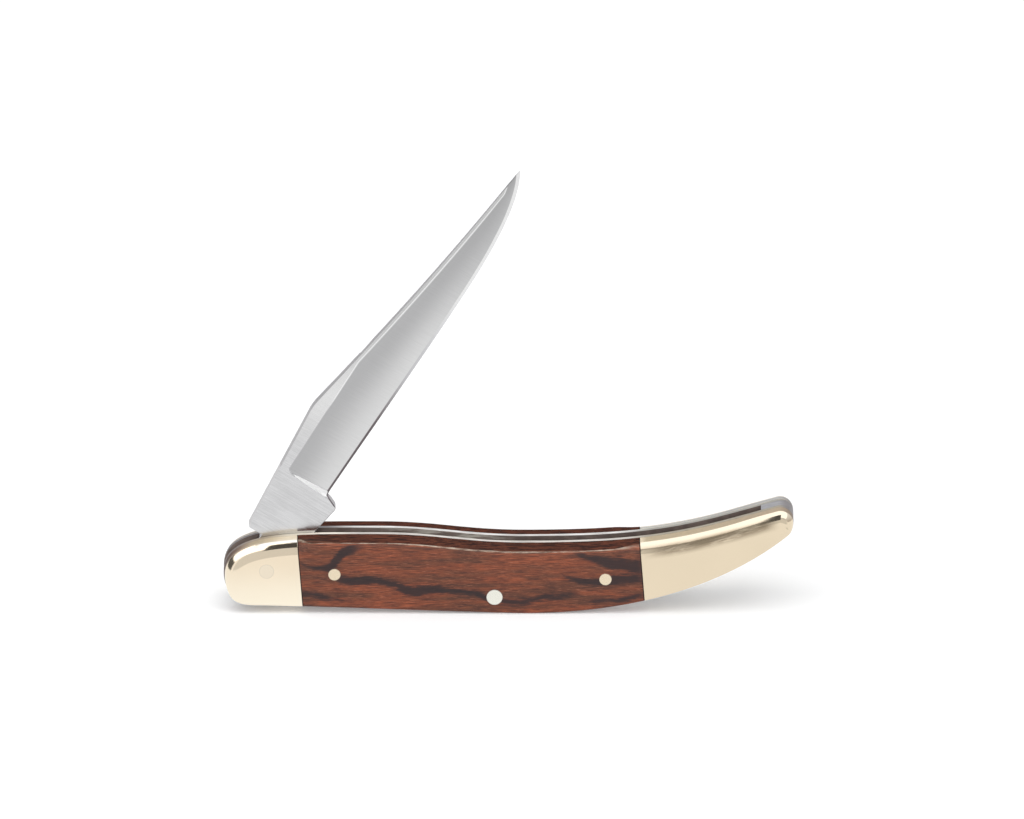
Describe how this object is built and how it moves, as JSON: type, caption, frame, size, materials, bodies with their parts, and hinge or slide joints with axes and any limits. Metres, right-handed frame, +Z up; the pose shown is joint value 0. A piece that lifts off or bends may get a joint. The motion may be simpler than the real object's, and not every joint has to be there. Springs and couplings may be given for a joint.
{
  "type": "toothpick pocket knife",
  "caption": "Slim folding pocket knife with a curved tail, standing on its back with its long clip blade half open; red-brown wood scales between polished pale gold bolsters.",
  "frame": {"origin": "on the surface the knife stands on, midway along the handle and midway across it", "axes": "+X from the front bolster towards the tail, +Y away from the pictured side, +Z up, towards the slot"},
  "size_m": [0.0762, 0.0092, 0.0613],
  "materials": {
    "blade_steel": "hollow ground, fine cross grain, polished flats",
    "spring_steel": "ground",
    "liner_steel": "satin, edges ground flush",
    "wood": "red-brown laminated wood with dark streaks, satin lacquer",
    "bolster_metal": "pale gold nickel silver, polished",
    "pin_steel": "ground flush and polished",
    "pin_brass": "ground flush and polished"
  },
  "bodies": {
    "handle": {"backspring": "spring_steel", "near_liner": "liner_steel", "far_liner": "liner_steel", "near_scale": "wood", "far_scale": "wood", "near_front_bolster": "bolster_metal", "far_front_bolster": "bolster_metal", "near_rear_bolster": "bolster_metal", "far_rear_bolster": "bolster_metal", "pivot_pin": "bolster_metal", "spring_pin": "pin_steel", "tail_pin": "bolster_metal", "near_front_scale_pin": "pin_brass", "far_front_scale_pin": "pin_brass", "near_rear_scale_pin": "pin_brass", "far_rear_scale_pin": "pin_brass"},
    "blade": {"blade": "blade_steel"}
  },
  "joints": [
    {"name": "blade_pivot", "type": "hinge", "parent": "handle", "child": "blade", "pos_m": [-0.03234, 0, 0.00604], "axis": [0, -1, 0], "range_deg": [-53.9, 121.5]}
  ]
}
